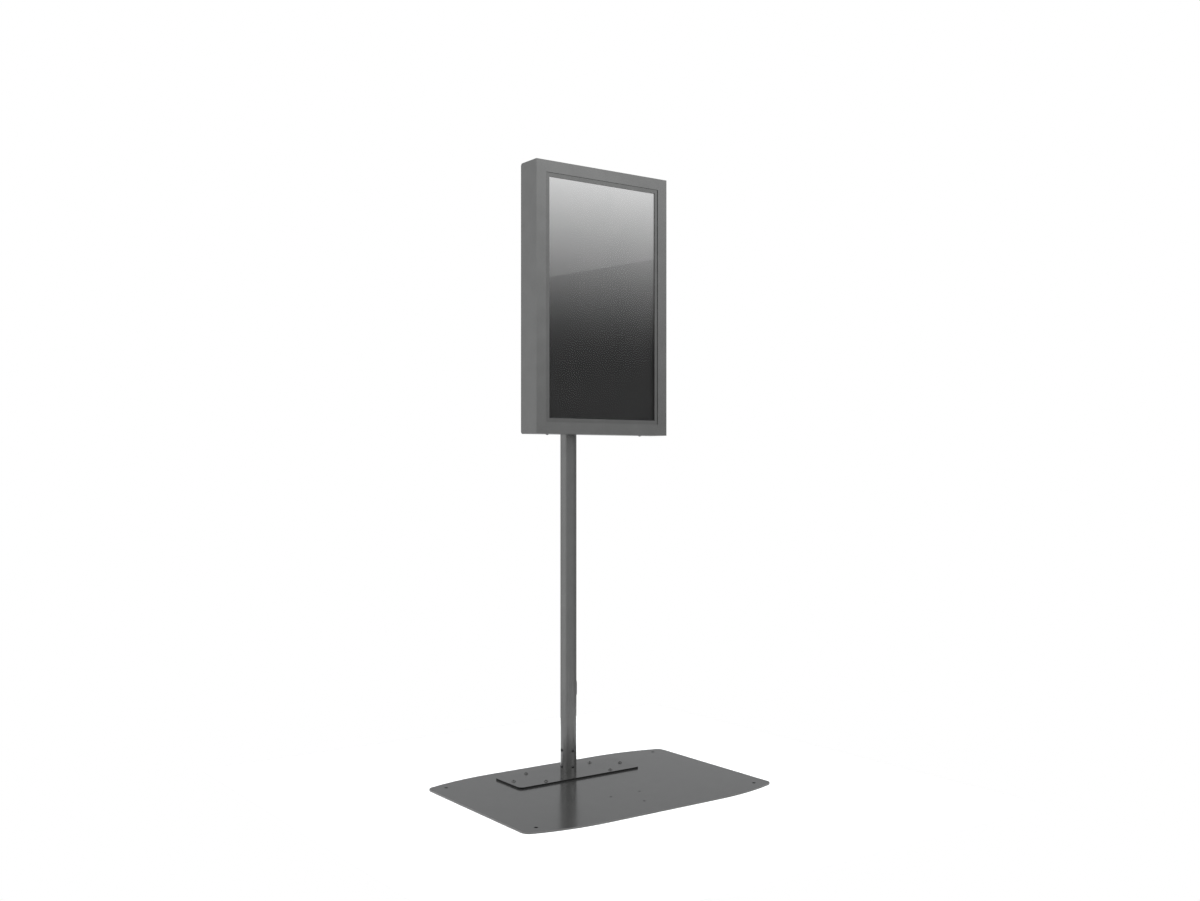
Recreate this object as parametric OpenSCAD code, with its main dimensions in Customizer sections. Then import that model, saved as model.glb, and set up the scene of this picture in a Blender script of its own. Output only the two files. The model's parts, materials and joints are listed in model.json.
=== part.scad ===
// Floor-standing touchscreen kiosk: a portrait screen housing on a round pole with a flat base plate.
// Millimetres, +Z up, +Y to the back. The origin is on the floor under the middle of the base plate.

/* [Base plate] */
// Width of the base plate
base_w = 880; // [700:10:1100]
// Depth of the base plate at its middle
base_d = 620; // [520:10:800]
// Thickness of the base plate
base_t = 5; // [4:0.5:10]
// Straight middle stretch of each long edge
base_straight = 400; // [200:10:600]
// How far each long edge curves in at its ends
base_drop = 40; // [20:1:70]
// Radius of the base plate's corners
base_corner_r = 26; // [10:1:40]
// Floor hole spacing across the width
anchor_dx = 780; // [600:10:1000]
// Floor hole spacing across the depth
anchor_dy = 492; // [380:2:640]
// Diameter of the floor holes
anchor_hole_d = 11; // [8:0.5:16]
// Pitch circle of the three accessory holes in front of the pole
accessory_pcd = 120; // [80:2:160]
// Centre of the accessory holes, measured forward from the pole
accessory_ahead = 324; // [200:2:360]
// Diameter of the accessory holes
accessory_hole_d = 7; // [5:0.5:12]

/* [Pole and foot] */
// Outer diameter of the pole
pole_d = 50; // [40:1:60]
// Wall of the pole
pole_wall = 2.5; // [2:0.25:4]
// Length of the pole tube
pole_len = 1790; // [1500:10:2200]
// Width of the foot flange
flange_w = 446; // [380:2:560]
// Depth of the foot flange
flange_d = 150; // [130:2:200]
// Thickness of the foot flange
flange_t = 5; // [4:0.5:8]
// Radius of the flange corners
flange_corner_r = 16; // [6:1:24]
// Spacing of the four inner flange bolts across the width
flange_bolt_dx = 240; // [180:2:300]
// Spacing of the four inner flange bolts across the depth
flange_bolt_dy = 112; // [100:2:150]
// Spacing of the two end bolts
flange_end_dx = 399; // [330:1:500]
// Height of the spigot inside the pole
spigot_h = 96; // [90:1:150]
// Wall of the spigot
spigot_wall = 5; // [4:0.5:7]
// Height of the lower row of pole screws above the flange
pole_screw_low = 21; // [14:1:30]
// Height of the upper row of pole screws above the flange
pole_screw_high = 71; // [50:1:82]
// Height of the lower cable outlet above the floor
outlet_low_z = 270; // [200:5:600]
// Distance of the upper cable outlet below the top of the pole
outlet_top_gap = 50; // [35:5:80]

/* [Screen housing] */
// Width of the housing
house_w = 478; // [440:2:620]
// Height of the housing
house_h = 790; // [760:2:1000]
// Depth of the housing
house_d = 84; // [80:1:120]
// Height of the housing's underside above the floor
house_z = 1053.5; // [900:0.5:1200]
// Distance of the housing's front in front of the base plate's middle
house_front = 14; // [0:1:20]
// Sheet thickness of the housing
shell_t = 2; // [1.5:0.25:3]
// Outer bend radius of the top and bottom rear edges
bend_r = 8; // [5:0.5:12]
// Width of the flat frame around the window
frame_w = 34; // [30:1:60]
// Visible width of the inner bezel
lip_w = 11.5; // [8:0.5:20]
// Thickness of the touch glass
glass_t = 4; // [3:0.5:6]
// Width of the picture area
active_w = 392.9; // [300:0.1:480]
// Height of the picture area
active_h = 698.4; // [600:0.1:860]
// Thickness of the display module
module_t = 12; // [8:1:16]

/* [Service door] */
// Width of the service door
door_w = 160; // [120:2:180]
// Height of the service door
door_h = 232; // [160:2:240]
// Thickness of the door
door_t = 2; // [1.5:0.25:3]

/* [Bracket] */
// Gap between the housing's back and the pole
standoff = 79; // [76:1:110]
// Hole spacing of the mounting plate, both ways
vesa = 200; // [100:100:200]
// Size of the mounting plate
vesa_plate = 240; // [220:2:260]
// Height of the clamp on the pole
clamp_h = 100; // [80:2:130]
// Width of the clamp
clamp_w = 100; // [92:2:120]
// Thickness of the clamp liner
liner_t = 1.5; // [1:0.1:3]
// Diameter of the tilt pivot
pivot_d = 10; // [8:1:14]

/* [Hidden] */
$fn = 48;

// clearances
slip = 0.1;        // a screw shank in its hole, a tube on a spigot
run = 0.05;        // a shaft turning or sliding in its bore

// finishes
anthracite = [0.35, 0.36, 0.37];
zinc = [0.72, 0.73, 0.75];
black = [0.07, 0.07, 0.08];
board_green = [0.10, 0.32, 0.20];
steel = [0.62, 0.63, 0.65];

// pole position
y_front = -house_front;
y_back = y_front + house_d;
pole_r = pole_d / 2;
pole_y = y_back + standoff + pole_r;

// base and foot
flange_top = base_t + flange_t;
base_run = (base_w - base_straight) / 2;
base_arc_r = (base_run * base_run + base_drop * base_drop) / (2 * base_drop);
corner_step = 0.02;   // keeps each corner circle a hair inside the two edges that it joins
anchor_points = [for (x = [-1, 1], y = [-1, 1]) [x * anchor_dx / 2, y * anchor_dy / 2]];
flange_points = concat([for (x = [-1, 1], y = [-1, 1])
                            [x * flange_bolt_dx / 2, pole_y + y * flange_bolt_dy / 2]],
                       [for (x = [-1, 1]) [x * flange_end_dx / 2, pole_y]]);
bolt_d = 8;
bolt_head_d = 14;
bolt_head_h = 4.4;
pole_in_r = pole_r - pole_wall;
pole_top = flange_top + pole_len;
spigot_r = pole_in_r - slip;
spigot_in_r = spigot_r - spigot_wall;
pole_screw_d = 6;
pole_screw_head_d = 10.5;
pole_screw_head_h = 3.6;
cap_t = 3;
grommet_w = 30;
grommet_h = 50;
grommet_lip = 3;
grommet_out = 1.3;
outlet_heights = [outlet_low_z, pole_top - outlet_top_gap];

// housing, front to back
z_low = house_z;
z_top = z_low + house_h;
z_mid = z_low + house_h / 2;
window_w = house_w - 2 * frame_w;
window_h = house_h - 2 * frame_w;
view_w = window_w - 2 * lip_w;
view_h = window_h - 2 * lip_w;
y_ring = y_front + shell_t;
lip_gap = 1.5;
lip_sink = 1.8;
ring_flange_t = 2;
ring_flange = 7;
y_ring_back = y_ring + 4;
gasket_t = 1;
y_glass = y_ring_back + gasket_t;
y_glass_back = y_glass + glass_t;
glass_w = window_w + 2;
glass_h = window_h + 2;
y_panel = y_glass_back + gasket_t;
panel_t = 2;
y_module = y_panel + panel_t;
y_module_back = y_module + module_t;
module_w = glass_w;
module_h = glass_h - 4;
rail_t = 1.5;
rail_foot_x = window_w / 2 + ring_flange + 2;
rail_grip = 12;
rail_h = module_h - 30;
inner_half_w = house_w / 2 - shell_t;
stud_d = 4;
stud_len = 7;
stud_x = (rail_foot_x + rail_t + inner_half_w) / 2;
stud_heights = [for (i = [-1, 0, 1]) z_mid + i * rail_h * 0.42];

// chassis tray
tray_t = 1.5;
y_tray = y_module_back + 5;
y_tray_back = y_tray + tray_t;
tray_w = house_w - 18;
tray_flange_end = y_back - bend_r - 2;
tray_low = z_low + shell_t;
tray_top = z_top - shell_t;
boss_d = 14;
vesa_screw_d = 6;
vesa_screw_len = 20;
security_x = 171;
security_y = y_front + 47.7;
security_d = 5;
security_head_d = 9.5;
security_head_h = 2.7;

// rear cover
cover_t = 2;
y_cover = y_back;
y_cover_back = y_cover + cover_t;
return_w = 22;
cover_gap = 12;
cover_w = house_w - 2 * cover_gap + 2;
cover_h = house_h - 2 * cover_gap;
cover_screw_d = 4;
cover_screw_x = (house_w / 2 - return_w + cover_w / 2) / 2;
cover_screw_z = (house_h / 2 - return_w + cover_h / 2) / 2;
cover_points = concat([for (x = [-1, 1], i = [-2 : 2])
                           [x * cover_screw_x, z_mid + i * cover_screw_z * 0.46]],
                      [for (x = [-1, 1], z = [-1, 1])
                           [x * cover_screw_x * 0.42, z_mid + z * cover_screw_z]]);

// service door
hinge_x = 30 - cover_w / 2;
hinge_y = y_cover_back + 4;
door_x = hinge_x + 4;
door_low = z_low + 32;
door_mid = door_low + door_h / 2;
door_lap = 8;
knuckle_d = 7;
pin_d = 3;
knuckle_len = 26;
hinge_heights = [door_low + 40, door_low + door_h - 40];
lock_x = door_x + door_w - 28;
lock_z = door_mid;
lock_barrel_d = 16;
lock_head_d = 20;
lock_core_d = 10;
y_lock_head = y_cover_back + door_t;
y_lock_in = y_lock_head - 12;

// sockets on the rear cover
socket_z = z_low + 52;
inlet_x = 150;
rocker_x = 104;
button_x = 72;
rocker_tilt = 8;
button_d = 12;
entry_x = 190;
entry_bore = 12;
entry_d = 20;

// fan
fan_size = 80;
fan_t = 20;
fan_x = 125;
fan_z = z_mid + 235;
fan_hole_d = 72;
fan_rotor_d = 68;
fan_pitch = 71.5;
y_fan = y_cover - fan_t;

// electronics on the tray
player_size = [130, 30, 130];
player_pos = [door_x + 8, y_tray_back + 2.5, door_low + 20];
supply_size = [130, 34, 150];
supply_pos = [70, y_tray_back, z_low + 96];
board_size = [150, 1.6, 104];
board_pos = [-90, y_tray_back + 8, z_mid + 180];
touch_size = [76, 1.6, 44];
touch_pos = [-190, y_tray_back + 8, z_mid + 60];
board_hole_in = 5;

// bracket
y_plate = y_cover_back;
plate_t = 4;
y_plate_back = y_plate + plate_t;
pivot_y = y_plate_back + 32;
ear_t = 5;
ear_in = 22;
ear_r = 16;
fork_t = 5;
fork_gap = 0.3;
fork_in = ear_in + ear_t + fork_gap;
fork_w = 2 * (fork_in + fork_t);
cheek_r = 18;
clamp_split = 1;
clamp_bore_r = pole_r + run + liner_t + slip / 2;
clamp_front_y = pole_y - clamp_bore_r - 15.4;
clamp_rear_y = pole_y + clamp_bore_r + 9.4;
y_fork = clamp_front_y - fork_t;
clamp_bolt_d = 8;
clamp_bolt_x = (clamp_bore_r + clamp_w / 2) / 2 - 0.5;
clamp_bolt_z = clamp_h / 2 - 20;
fork_screw_d = 6;
fork_screw_x = fork_in - 13;
fork_screw_z = clamp_h / 2 - 14;

// ---------- shared shapes ----------

// rectangle with round corners, centred
module round_rect(w, h, r) {
    square([w - 2 * r, h], center = true);
    square([w, h - 2 * r], center = true);
    for (x = [-1, 1], y = [-1, 1])
        translate([x * (w / 2 - r), y * (h / 2 - r)]) circle(r);
}

// slot with round ends, centred, longer along y
module slot(w, h) {
    square([w, h - w], center = true);
    for (y = [-1, 1]) translate([0, y * (h - w) / 2]) circle(d = w);
}

// stands a flat XZ drawing up and gives it thickness from y0 to y1
module wall_xz(y0, y1) {
    translate([0, y1, 0]) rotate([90, 0, 0]) linear_extrude(y1 - y0) children();
}

// flat picture-frame ring centred on the window
module ring(w_out, h_out, w_in, h_in, y0, y1) {
    translate([0, 0, z_mid]) wall_xz(y0, y1) difference() {
        square([w_out, h_out], center = true);
        square([w_in, h_in], center = true);
    }
}

// flat plate centred on the window
module plate(w, h, y0, y1) {
    translate([0, 0, z_mid]) wall_xz(y0, y1) square([w, h], center = true);
}

// cylinder along Y from y0 to y1
module rod_y(d, x, z, y0, y1) {
    translate([x, y0, z]) rotate([-90, 0, 0]) cylinder(d = d, h = y1 - y0);
}

// cylinder along X from x0 to x1
module rod_x(d, y, z, x0, x1) {
    translate([x0, y, z]) rotate([0, 90, 0]) cylinder(d = d, h = x1 - x0);
}

// button-head screw: seat at the origin, shank down, head up, hexagon socket
module button_screw(d, head_d, head_h, len) {
    dome = (head_d * head_d / 4 + head_h * head_h) / (2 * head_h);
    difference() {
        union() {
            translate([0, 0, -len]) cylinder(d = d, h = len + 0.5);
            intersection() {
                cylinder(d = head_d, h = head_h);
                translate([0, 0, head_h - dome]) sphere(dome);
            }
        }
        translate([0, 0, head_h * 0.4]) cylinder(d = d * 0.7, h = head_h, $fn = 6);
    }
}

// hexagon nut with its bore, seated at the origin
module hex_nut(across, h, bore) {
    difference() {
        cylinder(d = across / cos(30), h = h, $fn = 6);
        translate([0, 0, -1]) cylinder(d = bore, h = h + 2);
    }
}

function unit(v) = v / norm(v);

// round cable through a list of points, with right-angled bends only
module cable(points, d) {
    bend = 1.5 * d;
    last = len(points) - 1;
    for (i = [0 : last - 1]) {
        way = unit(points[i + 1] - points[i]);
        start = points[i] + (i > 0 ? bend : 0) * way;
        end = points[i + 1] - (i + 1 < last ? bend : 0) * way;
        translate(start) rotate([0, acos(way[2]), atan2(way[1], way[0])])
            cylinder(d = d, h = norm(end - start));
        if (i > 0) cable_bend(points[i], unit(points[i] - points[i - 1]), way, bend, d);
    }
}

// quarter ring that turns a cable at p from direction a to direction b
module cable_bend(p, a, b, bend, d) {
    n = cross(a, b);
    c = p + bend * (b - a);
    multmatrix([[-b[0], a[0], n[0], c[0]],
                [-b[1], a[1], n[1], c[1]],
                [-b[2], a[2], n[2], c[2]]])
        rotate_extrude(angle = 90) translate([bend, 0]) circle(d = d);
}

// ---------- stand ----------

// a quarter of the base plate: straight side, curved long edge, corner circle touching both
module base_quarter() {
    arc_x = base_straight / 2;
    arc_y = base_d / 2 - base_arc_r;
    corner_x = base_w / 2 - base_corner_r;
    dx = corner_x - arc_x;
    dy = sqrt(pow(base_arc_r - base_corner_r, 2) - dx * dx);
    k = base_arc_r / (base_arc_r - base_corner_r);
    touch = [arc_x + k * dx, arc_y + k * dy];
    outside = [arc_x + 1.1 * k * dx, arc_y + 1.1 * k * dy];
    cross_x = arc_x - arc_y * dx / dy;
    square([arc_x, base_d / 2]);
    polygon([[0, 0], [base_w / 2, 0], [base_w / 2, arc_y + dy], [corner_x, arc_y + dy], touch, [arc_x, 0]]);
    translate([corner_x, arc_y + dy]) circle(base_corner_r - corner_step);
    intersection() {
        translate([arc_x, arc_y]) circle(base_arc_r, $fn = 256);
        polygon([[arc_x, 0], [arc_x, base_d], outside, [cross_x, 0]]);
    }
}

module base_outline() {
    for (x = [0, 1], y = [0, 1]) mirror([x, 0]) mirror([0, y]) base_quarter();
}

module base_plate() {
    color(anthracite) difference() {
        linear_extrude(base_t) base_outline();
        for (p = anchor_points) translate([p[0], p[1], -1]) cylinder(d = anchor_hole_d, h = base_t + 2);
        for (p = flange_points) translate([p[0], p[1], -1]) cylinder(d = bolt_d + 2 * slip, h = base_t + 2);
        for (a = [30, 150, 270])
            translate([accessory_pcd / 2 * cos(a), pole_y - accessory_ahead + accessory_pcd / 2 * sin(a), -1])
                cylinder(d = accessory_hole_d, h = base_t + 2);
    }
}

module foot_flange() {
    color(anthracite) difference() {
        translate([0, pole_y, base_t]) linear_extrude(flange_t)
            round_rect(flange_w, flange_d, flange_corner_r);
        for (p = flange_points) translate([p[0], p[1], base_t - 1])
            cylinder(d = bolt_d + 1, h = flange_t + 2);
    }
}

module pole_spigot() {
    color(steel) difference() {
        translate([0, pole_y, flange_top]) cylinder(r = spigot_r, h = spigot_h);
        translate([0, pole_y, flange_top - 1]) cylinder(r = spigot_in_r, h = spigot_h + 2);
        pole_screw_places() translate([0, 0, -spigot_wall * 2])
            cylinder(d = pole_screw_d + 2 * slip, h = 30);
    }
}

module flange_bolts() {
    color(anthracite) for (p = flange_points)
        translate([p[0], p[1], flange_top])
            button_screw(bolt_d, bolt_head_d, bolt_head_h, flange_t + base_t - 0.5);
}

// puts its children on the pole's surface at each foot screw, their Z pointing outwards
module pole_screw_places() {
    for (z = [pole_screw_low, pole_screw_high], a = [0, 90, 180, 270])
        translate([0, pole_y, flange_top + z]) rotate([0, 90, a]) translate([0, 0, pole_r]) children();
}

// solid of an upright slot on the pole's +X side, reaching from the axis outwards
module outlet_slot(z, inset) {
    translate([0, pole_y, z]) rotate([90, 0, 90])
        linear_extrude(pole_d) slot(grommet_w - 2 * inset, grommet_h - 2 * inset);
}

module pole_tube() {
    color(anthracite) difference() {
        translate([0, pole_y, flange_top]) cylinder(r = pole_r, h = pole_len);
        translate([0, pole_y, flange_top - 1]) cylinder(r = pole_in_r, h = pole_len + 2);
        pole_screw_places() translate([0, 0, -pole_wall * 2]) cylinder(d = pole_screw_d + 2 * slip, h = 10);
        for (z = outlet_heights) outlet_slot(z, grommet_lip);
    }
}

module pole_screws() {
    color(zinc) pole_screw_places() button_screw(pole_screw_d, pole_screw_head_d, pole_screw_head_h,
                                                 pole_wall + spigot_wall);
}

module pole_cap() {
    color(black) translate([0, pole_y, pole_top]) {
        cylinder(r1 = pole_r, r2 = pole_r - 1, h = cap_t);
        translate([0, 0, -12]) difference() {
            cylinder(r = pole_in_r - slip, h = 12);
            translate([0, 0, -1]) cylinder(r = pole_in_r - 3, h = 12);
        }
    }
}

// upright tube slice around the pole from radius r_in to r_out
module pole_sleeve(r_in, r_out, z, h) {
    translate([0, pole_y, z]) difference() {
        cylinder(r = r_out, h = h);
        translate([0, 0, -1]) cylinder(r = r_in, h = h + 2);
    }
}

module cable_grommets() {
    color(black) for (z = outlet_heights) difference() {
        union() {
            intersection() {
                outlet_slot(z, 0);
                pole_sleeve(pole_r + run, pole_r + grommet_out, z - grommet_h, 2 * grommet_h);
            }
            intersection() {
                outlet_slot(z, grommet_lip + slip);
                pole_sleeve(pole_in_r - 1, pole_r + grommet_out, z - grommet_h, 2 * grommet_h);
            }
        }
        outlet_slot(z, grommet_lip + 3);
    }
}

// ---------- carriage on the pole ----------

module clamp_half_outline(y0, y1) {
    difference() {
        intersection() {
            translate([0, (clamp_front_y + clamp_rear_y) / 2])
                round_rect(clamp_w, clamp_rear_y - clamp_front_y, 9);
            translate([-clamp_w, y0]) square([2 * clamp_w, y1 - y0]);
        }
        translate([0, pole_y]) circle(clamp_bore_r);
    }
}

module clamp_half(y0, y1) {
    translate([0, 0, z_mid - clamp_h / 2]) linear_extrude(clamp_h) clamp_half_outline(y0, y1);
}

// the four clamp bolts' axes, as cylinders from y0 to y1
module clamp_bolt_rods(d, y0, y1) {
    for (x = [-1, 1], z = [-1, 1]) rod_y(d, x * clamp_bolt_x, z_mid + z * clamp_bolt_z, y0, y1);
}

module fork_screw_rods(d, y0, y1) {
    for (x = [-1, 1], z = [-1, 1]) rod_y(d, x * fork_screw_x, z_mid + z * fork_screw_z, y0, y1);
}

module clamp_front() {
    color(anthracite) difference() {
        clamp_half(clamp_front_y, pole_y - clamp_split / 2);
        clamp_bolt_rods(clamp_bolt_d + 2 * slip, pole_y - 26, pole_y + 1);
        fork_screw_rods(fork_screw_d + 2 * slip, clamp_front_y - 1, clamp_front_y + 12);
    }
}

module clamp_rear() {
    color(anthracite) difference() {
        clamp_half(pole_y + clamp_split / 2, clamp_rear_y);
        clamp_bolt_rods(clamp_bolt_d + 2 * slip, pole_y, clamp_rear_y + 1);
        clamp_bolt_rods(14, clamp_rear_y - 9, clamp_rear_y + 1);
    }
}

module clamp_liner() {
    color(black) difference() {
        pole_sleeve(pole_r + run, pole_r + run + liner_t, z_mid - clamp_h / 2, clamp_h);
        translate([0, pole_y, z_mid]) cube([4 * pole_r, clamp_split, 2 * clamp_h], center = true);
    }
}

module clamp_bolts() {
    seat_y = clamp_rear_y - 9;
    color(zinc) difference() {
        union() {
            clamp_bolt_rods(clamp_bolt_d, pole_y - 24, seat_y + 1);
            clamp_bolt_rods(13, seat_y, seat_y + 8);
        }
        for (x = [-1, 1], z = [-1, 1])
            translate([x * clamp_bolt_x, seat_y + 4, z_mid + z * clamp_bolt_z]) rotate([-90, 0, 0])
                cylinder(d = 7, h = 10, $fn = 6);
    }
}

// side view of a lug with a round end at the pivot and a straight root from y0 to y1
module lug(y0, y1, root_h, end_r, bore_d) {
    rotate([90, 0, 90]) linear_extrude(ear_t, center = true) difference() {
        union() {
            polygon([[y0, z_mid - root_h / 2], [pivot_y, z_mid - end_r], [pivot_y, z_mid + end_r],
                     [y0, z_mid + root_h / 2]]);
            polygon([[y1, z_mid - root_h / 2], [pivot_y, z_mid - end_r], [pivot_y, z_mid + end_r],
                     [y1, z_mid + root_h / 2]]);
            translate([pivot_y, z_mid]) circle(end_r);
        }
        translate([pivot_y, z_mid]) circle(d = bore_d);
    }
}

module tilt_fork() {
    color(anthracite) {
        difference() {
            translate([0, 0, z_mid]) wall_xz(y_fork, clamp_front_y) round_rect(fork_w, clamp_h - 6, 3);
            fork_screw_rods(fork_screw_d + 2 * slip, y_fork - 1, clamp_front_y + 1);
        }
        for (x = [-1, 1])
            translate([x * (fork_in + fork_t / 2), 0, 0])
                lug(y_fork + 1, y_fork + 1, 60, cheek_r, pivot_d + 2 * slip);
    }
}

module fork_screws() {
    color(zinc) difference() {
        union() {
            fork_screw_rods(fork_screw_d, y_fork - 1, clamp_front_y + 10);
            fork_screw_rods(10, y_fork - 5, y_fork);
        }
        for (x = [-1, 1], z = [-1, 1])
            translate([x * fork_screw_x, y_fork - 6, z_mid + z * fork_screw_z]) rotate([-90, 0, 0])
                cylinder(d = 5.5, h = 4, $fn = 6);
    }
}

module pivot_bolt() {
    color(zinc) {
        rod_x(pivot_d, pivot_y, z_mid, -fork_w / 2 - 1, fork_w / 2 + 11);
        translate([-fork_w / 2 - 6, pivot_y, z_mid]) rotate([0, 90, 0]) cylinder(d = 19.6, h = 6, $fn = 6);
    }
}

module pivot_nut() {
    color(zinc) translate([fork_w / 2, pivot_y, z_mid]) rotate([0, 90, 0])
        hex_nut(17, 8, pivot_d + 2 * slip);
}

// ---------- tilting bracket plate ----------

module vesa_rods(d, y0, y1) {
    for (x = [-1, 1], z = [-1, 1]) rod_y(d, x * vesa / 2, z_mid + z * vesa / 2, y0, y1);
}

module vesa_bracket() {
    color(anthracite) {
        difference() {
            translate([0, 0, z_mid]) wall_xz(y_plate, y_plate_back) difference() {
                round_rect(vesa_plate, vesa_plate, 12);
                for (x = [-1, 1]) translate([x * vesa_plate * 0.28, 0]) slot(50, vesa_plate * 0.58);
            }
            vesa_rods(vesa_screw_d + 0.6, y_plate - 1, y_plate_back + 1);
        }
        for (x = [-1, 1])
            translate([x * (ear_in + ear_t / 2), 0, 0])
                lug(y_plate_back - 1, y_plate_back - 1, 90, ear_r, pivot_d + 2 * run);
    }
}

module vesa_screws() {
    color(zinc) for (x = [-1, 1], z = [-1, 1])
        translate([x * vesa / 2, y_plate_back, z_mid + z * vesa / 2]) rotate([-90, 0, 0])
            button_screw(vesa_screw_d, 10.5, 3.3, vesa_screw_len);
}

// ---------- screen housing ----------

// side view of the housing's box, set in by inset all round; the rear corners are bent round
module housing_profile(inset) {
    r = bend_r - inset;
    y0 = y_front + inset;
    y1 = y_back - inset;
    z0 = z_low + inset;
    z1 = z_top - inset;
    translate([y0, z0]) square([y1 - y0 - r, z1 - z0]);
    translate([y0, z0 + r]) square([y1 - y0, z1 - z0 - 2 * r]);
    for (z = [z0 + r, z1 - r]) translate([y1 - r, z]) circle(r);
}

module housing_block(inset) {
    rotate([90, 0, 90]) linear_extrude(house_w - 2 * inset, center = true) housing_profile(inset);
}

module housing_shell() {
    color(anthracite) {
        difference() {
            housing_block(0);
            housing_block(shell_t);
            translate([0, 0, z_mid]) {
                wall_xz(y_front - 1, y_ring + 1) square([window_w, window_h], center = true);
                wall_xz(y_back - shell_t - 1, y_back + 1)
                    square([house_w - 2 * return_w, house_h - 2 * return_w], center = true);
            }
            for (x = [-1, 1]) translate([x * security_x, security_y, z_low - 1])
                cylinder(d = security_d + 2 * slip, h = shell_t + 2);
            for (p = cover_points)
                rod_y(cover_screw_d + 2 * slip, p[0], p[1], y_back - shell_t - 1, y_back + 1);
        }
        for (x = [-1, 1], z = stud_heights) rod_y(stud_d, x * stud_x, z, y_ring - 0.5, y_ring + stud_len);
    }
}

module inner_bezel() {
    color(anthracite) {
        ring(window_w + 2 * ring_flange, window_h + 2 * ring_flange, view_w, view_h,
             y_ring, y_ring + ring_flange_t);
        ring(window_w - 2 * lip_gap, window_h - 2 * lip_gap, view_w, view_h,
             y_front + lip_sink, y_ring_back);
    }
}

module bezel_gasket() {
    color(black) ring(window_w - 4, window_h - 4, view_w + 2, view_h + 2, y_ring_back, y_glass);
}

module touch_glass() {
    color([0.05, 0.05, 0.06, 0.6]) plate(glass_w, glass_h, y_glass, y_glass_back);
}

module panel_gasket() {
    color(black) ring(glass_w - 4, glass_h - 4, active_w + 2, active_h + 2, y_glass_back, y_panel);
}

module lcd_panel() {
    color([0.03, 0.03, 0.035]) plate(module_w - 4, module_h - 4, y_panel, y_module);
}

module backlight_unit() {
    color(steel) difference() {
        plate(module_w, module_h, y_module, y_module_back);
        for (x = [-1, 1], z = [-1, 1]) translate([x * module_w / 4, 0, z * module_h / 4])
            plate(module_w / 2 - 40, module_h / 2 - 40, y_module_back - 2, y_module_back + 1);
    }
}

module panel_rails() {
    color(zinc) for (s = [0, 1]) mirror([s, 0, 0]) difference() {
        translate([0, 0, z_mid - rail_h / 2]) {
            translate([rail_foot_x, y_ring, 0]) cube([inner_half_w - rail_foot_x - 3, rail_t, rail_h]);
            translate([rail_foot_x, y_ring, 0]) cube([rail_t, y_module_back + rail_t - y_ring, rail_h]);
            translate([module_w / 2 - rail_grip, y_module_back, 0])
                cube([rail_foot_x + rail_t - module_w / 2 + rail_grip, rail_t, rail_h]);
        }
        for (z = stud_heights) rod_y(stud_d + 4 * slip, stud_x, z, y_ring - 1, y_ring + rail_t + 1);
    }
}

module rail_nuts() {
    color(zinc) for (x = [-1, 1], z = stud_heights)
        translate([x * stud_x, y_ring + rail_t, z]) rotate([-90, 0, 0]) hex_nut(7, 3.2, stud_d + 2 * slip);
}

module chassis_tray() {
    tray_h = tray_top - tray_low;
    color(zinc) difference() {
        translate([-tray_w / 2, 0, tray_low]) {
            translate([0, y_tray, 0]) cube([tray_w, tray_t, tray_h]);
            for (z = [0, tray_h - tray_t])
                translate([0, y_tray, z]) cube([tray_w, tray_flange_end - y_tray, tray_t]);
        }
        for (x = [-1, 1]) translate([x * security_x, security_y, tray_low - 1])
            cylinder(d = security_d + 2 * slip, h = tray_t + 2);
    }
}

module mounting_bosses() {
    color(zinc) difference() {
        vesa_rods(boss_d, y_tray_back, y_back);
        vesa_rods(vesa_screw_d + 2 * slip, y_back - vesa_screw_len, y_back + 1);
    }
}

module security_screws() {
    color(zinc) for (x = [-1, 1]) translate([x * security_x, security_y, z_low]) rotate([180, 0, 0])
        button_screw(security_d, security_head_d, security_head_h, 11);
}

module security_nuts() {
    color(zinc) for (x = [-1, 1]) translate([x * security_x, security_y, tray_low + tray_t])
        hex_nut(8, 4, security_d + 2 * slip);
}

// ---------- electronics on the tray ----------

module media_player() {
    fins = 11;
    fin_pitch = player_size[0] / fins;
    color(black) translate(player_pos) {
        cube([player_size[0], player_size[1] - 8, player_size[2]]);
        for (i = [0 : fins - 1]) translate([(i + 0.25) * fin_pitch, player_size[1] - 9, 4])
            cube([fin_pitch / 2, 9, player_size[2] - 8]);
    }
}

module player_feet() {
    color(black) for (x = [14, player_size[0] - 14], z = [14, player_size[2] - 14])
        rod_y(12, player_pos[0] + x, player_pos[2] + z, y_tray_back, player_pos[1]);
}

module power_supply() {
    color(zinc) translate(supply_pos) difference() {
        cube(supply_size);
        for (i = [0 : 8], j = [0 : 5])
            translate([22 + i * 11, supply_size[1] - 2, 60 + j * 13]) rotate([-90, 0, 0])
                cylinder(d = 6, h = 4);
        translate([8, supply_size[1] - 8, -1]) cube([supply_size[0] - 16, 10, 19]);
    }
}

// a circuit board with four screw holes; children are the parts soldered on it
module board(pos, size) {
    difference() {
        translate(pos) cube(size);
        for (p = board_holes(pos, size)) rod_y(3.4, p[0], p[1], pos[1] - 1, pos[1] + size[1] + 1);
    }
    translate([pos[0], pos[1] + size[1] - 0.1, pos[2]]) children();
}

function board_holes(pos, size) = [for (x = [board_hole_in, size[0] - board_hole_in],
                                        z = [board_hole_in, size[2] - board_hole_in]) [pos[0] + x, pos[2] + z]];

module display_board() {
    color(board_green) board(board_pos, board_size) {
        translate([12, 0, 2]) cube([20, 10, 12]);
        translate([60, 0, 40]) cube([30, 5, 30]);
        translate([104, 0, 30]) cube([28, 3, 28]);
        translate([44, 0, board_size[2] - 14]) cube([70, 7, 8]);
        for (x = [16, 30, 44]) translate([x, 0, 60]) rotate([-90, 0, 0]) cylinder(d = 9, h = 12);
    }
}

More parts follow.
